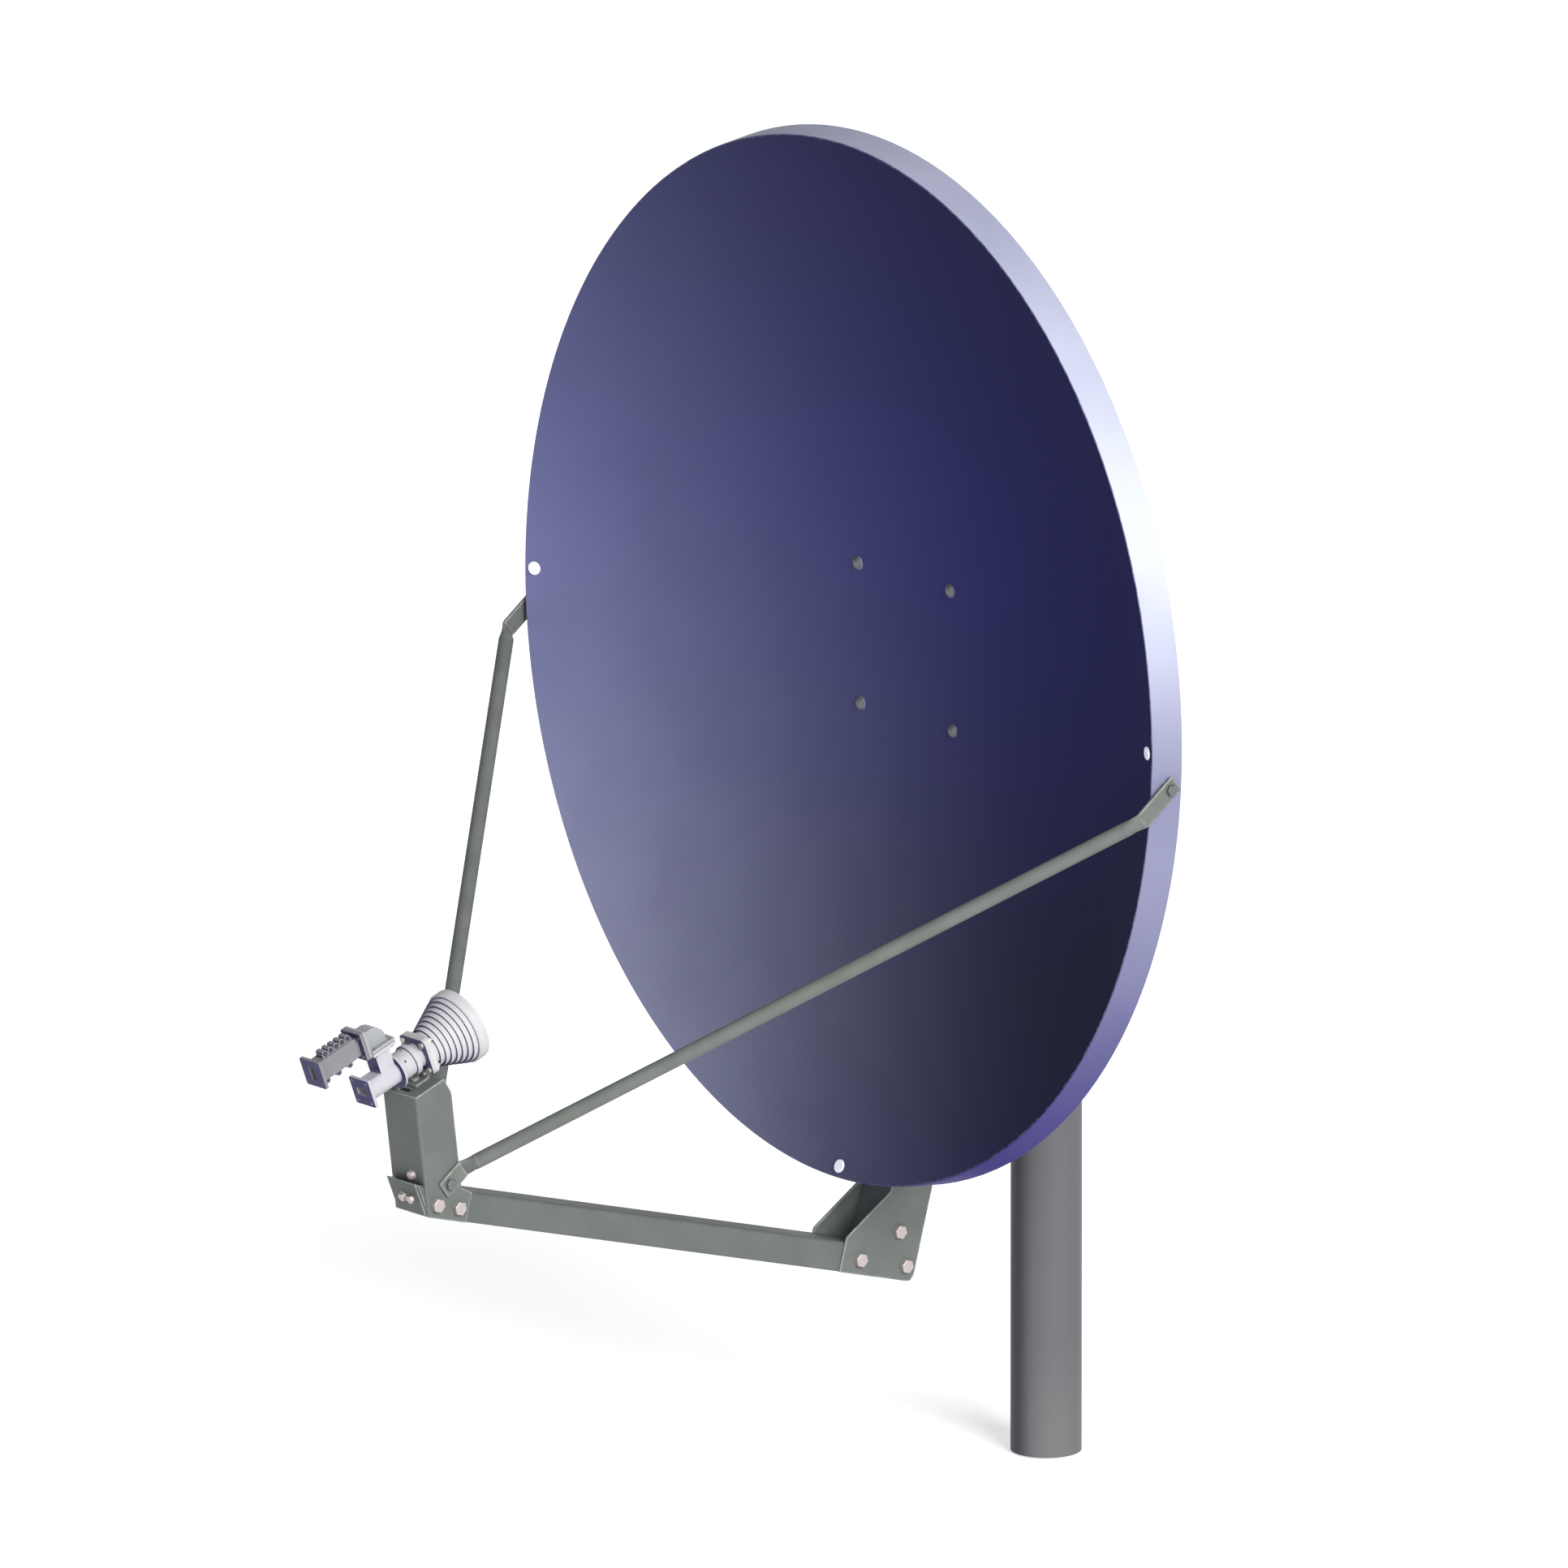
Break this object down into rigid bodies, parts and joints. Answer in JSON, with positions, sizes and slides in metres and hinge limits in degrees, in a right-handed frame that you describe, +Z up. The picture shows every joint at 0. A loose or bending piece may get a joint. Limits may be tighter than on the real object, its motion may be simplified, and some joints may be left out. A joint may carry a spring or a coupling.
{
  "type": "offset-fed parabolic antenna",
  "caption": "Offset parabolic dish on a mast pipe, with azimuth and elevation pivots, a braced feed boom and a turning microwave feed.",
  "frame": {"origin": "centre of the mast pipe's open lower end", "axes": "+Z up along the mast, -Y the way the dish looks when its azimuth is at rest, +X to its right seen from behind"},
  "size_m": [1.2488, 1.2329, 1.7344],
  "materials": {
    "mast_paint": "grey powder coat",
    "bearing_plastic": "satin",
    "bracket_paint": "grey powder coat",
    "boom_paint": "grey powder coat",
    "strut_paint": "grey powder coat",
    "cap_plastic": "satin",
    "dish_paint": "indigo semi-gloss paint",
    "plug_plastic": "satin",
    "bolt_zinc": "bright zinc",
    "horn_paint": "white paint",
    "polariser_paint": "white paint",
    "omt_paint": "white paint",
    "bend_paint": "light grey paint",
    "filter_metal": "bare metal",
    "screw_dark": "black oxide",
    "window_film": "thin film",
    "gasket_rubber": "matt"
  },
  "bodies": {
    "mast": {"mast_pipe": "mast_paint", "mast_thrust_disc": "bearing_plastic"},
    "azimuth_head": {"azimuth_canister": "bracket_paint", "azimuth_lock_bolts": "bolt_zinc", "azimuth_yoke": "bracket_paint", "elevation_pivot_bolt": "bolt_zinc", "elevation_pivot_nut": "bolt_zinc"},
    "dish": {"arm_bolts": "bolt_zinc", "back_spine": "bracket_paint", "boom_end_cap": "cap_plastic", "bracket_side_bolts": "bolt_zinc", "bracket_web_bolt": "bolt_zinc", "centre_bolts": "bolt_zinc", "centre_nuts": "bolt_zinc", "elevation_lock_bolt": "bolt_zinc", "elevation_lock_nut": "bolt_zinc", "feed_boom": "boom_paint", "feed_bracket": "bracket_paint", "feed_clamp_angle": "bracket_paint", "feed_clamp_bolt": "bolt_zinc", "feed_clamp_screws": "bolt_zinc", "feed_horn": "horn_paint", "gusset_boom_bolts": "bolt_zinc", "gusset_left": "bracket_paint", "gusset_right": "bracket_paint", "gusset_spine_bolts": "bolt_zinc", "horn_flange_bolts": "bolt_zinc", "horn_window": "window_film", "lip_bolt": "bolt_zinc", "lip_stud": "bolt_zinc", "polariser": "polariser_paint", "polariser_set_screws": "screw_dark", "reflector": "dish_paint", "reflector_bracket": "bracket_paint", "rim_plugs": "plug_plastic", "strut_foot_bolts": "bolt_zinc", "strut_left": "strut_paint", "strut_right": "strut_paint", "strut_rim_bolts": "bolt_zinc"},
    "feed_transducer": {"omt_body": "omt_paint", "rx_bend": "bend_paint", "rx_filter_right": "filter_metal", "rx_filter_left": "filter_metal", "filter_screws": "screw_dark", "flange_screws": "screw_dark", "flange_gaskets": "gasket_rubber"}
  },
  "joints": [
    {"name": "azimuth", "type": "hinge", "parent": "mast", "child": "azimuth_head", "pos_m": [0, 0, 1.0073], "axis": [0, 0, 1], "continuous": true},
    {"name": "elevation", "type": "hinge", "parent": "azimuth_head", "child": "dish", "pos_m": [0, 0, 1.0673], "axis": [-1, 0, 0], "range_deg": [-10.8, 57.2]},
    {"name": "polarisation", "type": "hinge", "parent": "dish", "child": "feed_transducer", "pos_m": [0, -1.0955, 0.64227], "axis": [0, 0.9336, 0.3584], "range_deg": [-90, 90]}
  ]
}
